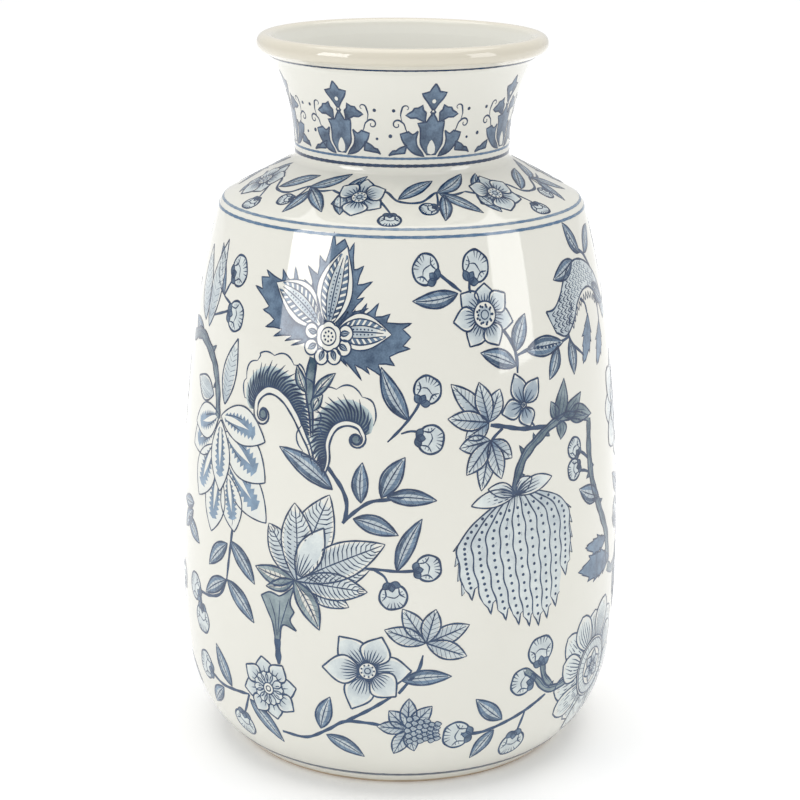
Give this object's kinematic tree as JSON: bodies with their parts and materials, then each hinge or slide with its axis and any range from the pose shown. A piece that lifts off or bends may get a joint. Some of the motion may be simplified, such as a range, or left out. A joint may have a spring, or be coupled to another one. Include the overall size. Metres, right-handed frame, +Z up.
{
  "type": "porcelain vase",
  "caption": "Tall shouldered porcelain vase with a flared neck and rolled lip, painted in underglaze blue, standing on an unglazed foot ring.",
  "frame": {"origin": "centre of the foot ring, on the plane that the vase stands on", "axes": "+Z up along the axis of revolution, towards the mouth; the painted front faces -Y"},
  "size_m": [0.2172, 0.2172, 0.3495],
  "materials": {
    "white_glaze": "glossy transparent glaze over white porcelain, opaque as a whole",
    "bare_porcelain": "unglazed fired porcelain, dry and slightly tan",
    "cobalt_painting": "cobalt blue brush painting under the glossy glaze"
  },
  "bodies": {
    "root": {"foot_ring": "bare_porcelain", "floor_disc": "white_glaze", "belly_wall": "white_glaze", "shoulder_section": "white_glaze", "neck_section": "white_glaze", "lip_ring": "white_glaze"}
  },
  "joints": []
}
